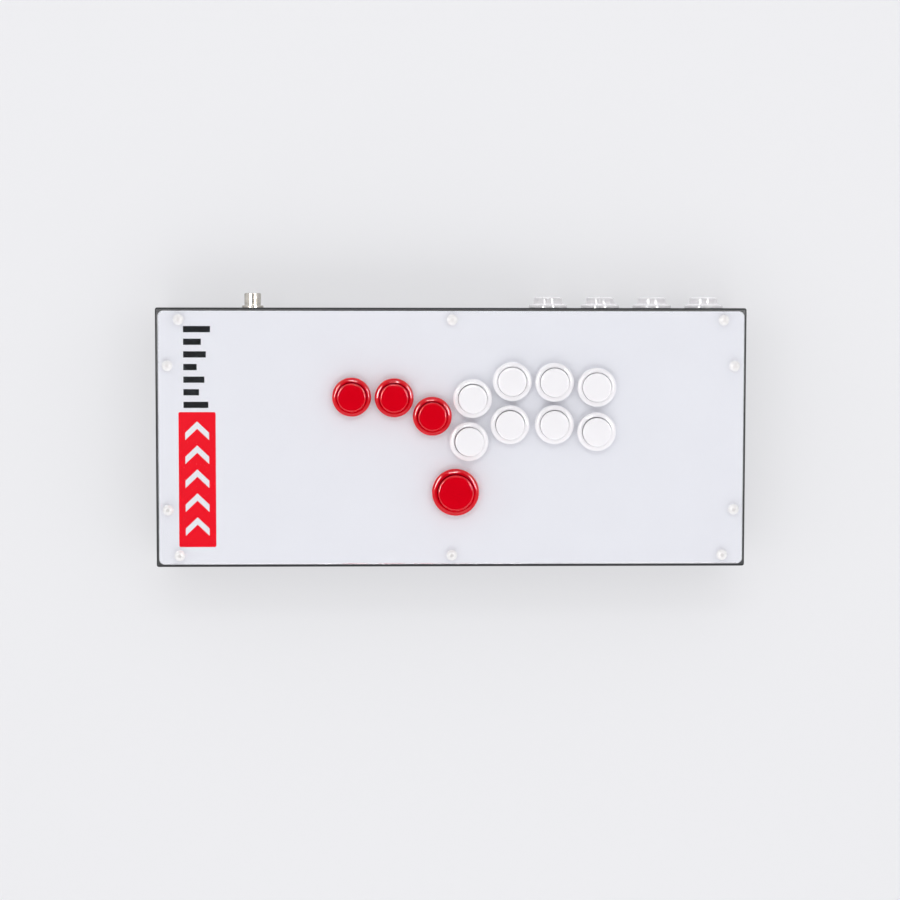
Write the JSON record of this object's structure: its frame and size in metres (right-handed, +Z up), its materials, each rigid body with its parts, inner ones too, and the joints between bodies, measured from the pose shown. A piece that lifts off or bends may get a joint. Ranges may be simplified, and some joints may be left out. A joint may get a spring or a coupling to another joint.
{
  "type": "arcade button controller",
  "caption": "Flat steel arcade controller with snap-in push buttons on its face and rear wall, a clear cover and a round cable socket.",
  "frame": {"origin": "under the middle of the whole outline, on the surface that the rubber feet stand on", "axes": "+X to the player's right along the long side, +Y towards the rear wall with the socket, +Z up out of the button face"},
  "size_m": [0.419, 0.1944, 0.067],
  "materials": {
    "black_powder_coat": "fine satin powder coat on folded steel",
    "clear_acrylic": "polished clear cast acrylic",
    "printed_sheet": "printed vinyl sheet, pale with a black and red pattern",
    "white_screw_paint": "white painted steel",
    "black_zinc": "black zinc-plated steel",
    "zinc_steel": "bright zinc-plated steel",
    "black_rubber": "moulded rubber, matt",
    "white_abs": "moulded ABS, gloss",
    "red_abs": "moulded ABS, gloss",
    "black_switch": "moulded thermoset, matt",
    "tinned_brass": "stamped, tin-plated",
    "nickel_plate": "nickel-plated brass",
    "black_insert": "moulded nylon",
    "green_board": "solder mask on glass laminate",
    "chip_black": "moulded epoxy",
    "ivory_header": "moulded nylon",
    "clear_sleeve": "moulded nylon sleeve",
    "red_wire": "PVC insulation",
    "black_wire": "PVC insulation"
  },
  "bodies": {
    "case": {"case_shell": "black_powder_coat", "base_plate": "black_powder_coat", "acrylic_cover": "clear_acrylic", "art_sheet": "printed_sheet", "cover_screws": "white_screw_paint", "cover_nuts": "zinc_steel", "base_screws": "black_zinc", "base_nuts": "zinc_steel", "rubber_feet": "black_rubber", "foot_screws": "zinc_steel", "foot_nuts": "zinc_steel", "action_1_housing": "white_abs", "action_2_housing": "white_abs", "action_3_housing": "white_abs", "action_4_housing": "white_abs", "action_5_housing": "white_abs", "action_6_housing": "white_abs", "action_7_housing": "white_abs", "action_8_housing": "white_abs", "move_left_housing": "red_abs", "move_down_housing": "red_abs", "move_right_housing": "red_abs", "move_up_housing": "red_abs", "rear_1_housing": "white_abs", "rear_2_housing": "white_abs", "rear_3_housing": "white_abs", "rear_4_housing": "white_abs", "action_switches": "black_switch", "move_switches": "black_switch", "rear_switches": "black_switch", "switch_terminals": "tinned_brass", "socket_shell": "nickel_plate", "socket_insulator": "black_insert", "socket_contacts": "tinned_brass", "socket_nut": "nickel_plate", "circuit_board": "green_board", "board_chips": "chip_black", "board_header": "ivory_header", "board_standoffs": "zinc_steel", "board_screws": "zinc_steel", "wire_receptacles": "clear_sleeve", "signal_wires": "red_wire", "ground_wires": "black_wire", "data_lead": "black_wire"},
    "action_1": {"action_1_plunger": "white_abs"},
    "action_2": {"action_2_plunger": "white_abs"},
    "action_3": {"action_3_plunger": "white_abs"},
    "action_4": {"action_4_plunger": "white_abs"},
    "action_5": {"action_5_plunger": "white_abs"},
    "action_6": {"action_6_plunger": "white_abs"},
    "action_7": {"action_7_plunger": "white_abs"},
    "action_8": {"action_8_plunger": "white_abs"},
    "move_left": {"move_left_plunger": "red_abs"},
    "move_down": {"move_down_plunger": "red_abs"},
    "move_right": {"move_right_plunger": "red_abs"},
    "move_up": {"move_up_plunger": "red_abs"},
    "rear_1": {"rear_1_plunger": "white_abs"},
    "rear_2": {"rear_2_plunger": "white_abs"},
    "rear_3": {"rear_3_plunger": "white_abs"},
    "rear_4": {"rear_4_plunger": "white_abs"}
  },
  "joints": [
    {"name": "action_1_press", "type": "slide", "parent": "case", "child": "action_1", "axis": [0, 0, -1], "range_m": [0, 0.0034], "stiffness_N_per_m": 300},
    {"name": "action_2_press", "type": "slide", "parent": "case", "child": "action_2", "axis": [0, 0, -1], "range_m": [0, 0.0034], "stiffness_N_per_m": 300},
    {"name": "action_3_press", "type": "slide", "parent": "case", "child": "action_3", "axis": [0, 0, -1], "range_m": [0, 0.0034], "stiffness_N_per_m": 300},
    {"name": "action_4_press", "type": "slide", "parent": "case", "child": "action_4", "axis": [0, 0, -1], "range_m": [0, 0.0034], "stiffness_N_per_m": 300},
    {"name": "action_5_press", "type": "slide", "parent": "case", "child": "action_5", "axis": [0, 0, -1], "range_m": [0, 0.0034], "stiffness_N_per_m": 300},
    {"name": "action_6_press", "type": "slide", "parent": "case", "child": "action_6", "axis": [0, 0, -1], "range_m": [0, 0.0034], "stiffness_N_per_m": 300},
    {"name": "action_7_press", "type": "slide", "parent": "case", "child": "action_7", "axis": [0, 0, -1], "range_m": [0, 0.0034], "stiffness_N_per_m": 300},
    {"name": "action_8_press", "type": "slide", "parent": "case", "child": "action_8", "axis": [0, 0, -1], "range_m": [0, 0.0034], "stiffness_N_per_m": 300},
    {"name": "move_left_press", "type": "slide", "parent": "case", "child": "move_left", "axis": [0, 0, -1], "range_m": [0, 0.0034], "stiffness_N_per_m": 300},
    {"name": "move_down_press", "type": "slide", "parent": "case", "child": "move_down", "axis": [0, 0, -1], "range_m": [0, 0.0034], "stiffness_N_per_m": 300},
    {"name": "move_right_press", "type": "slide", "parent": "case", "child": "move_right", "axis": [0, 0, -1], "range_m": [0, 0.0034], "stiffness_N_per_m": 300},
    {"name": "move_up_press", "type": "slide", "parent": "case", "child": "move_up", "axis": [0, 0, -1], "range_m": [0, 0.0034], "stiffness_N_per_m": 300},
    {"name": "rear_1_press", "type": "slide", "parent": "case", "child": "rear_1", "axis": [0, -1, 0], "range_m": [0, 0.0034], "stiffness_N_per_m": 300},
    {"name": "rear_2_press", "type": "slide", "parent": "case", "child": "rear_2", "axis": [0, -1, 0], "range_m": [0, 0.0034], "stiffness_N_per_m": 300},
    {"name": "rear_3_press", "type": "slide", "parent": "case", "child": "rear_3", "axis": [0, -1, 0], "range_m": [0, 0.0034], "stiffness_N_per_m": 300},
    {"name": "rear_4_press", "type": "slide", "parent": "case", "child": "rear_4", "axis": [0, -1, 0], "range_m": [0, 0.0034], "stiffness_N_per_m": 300}
  ]
}
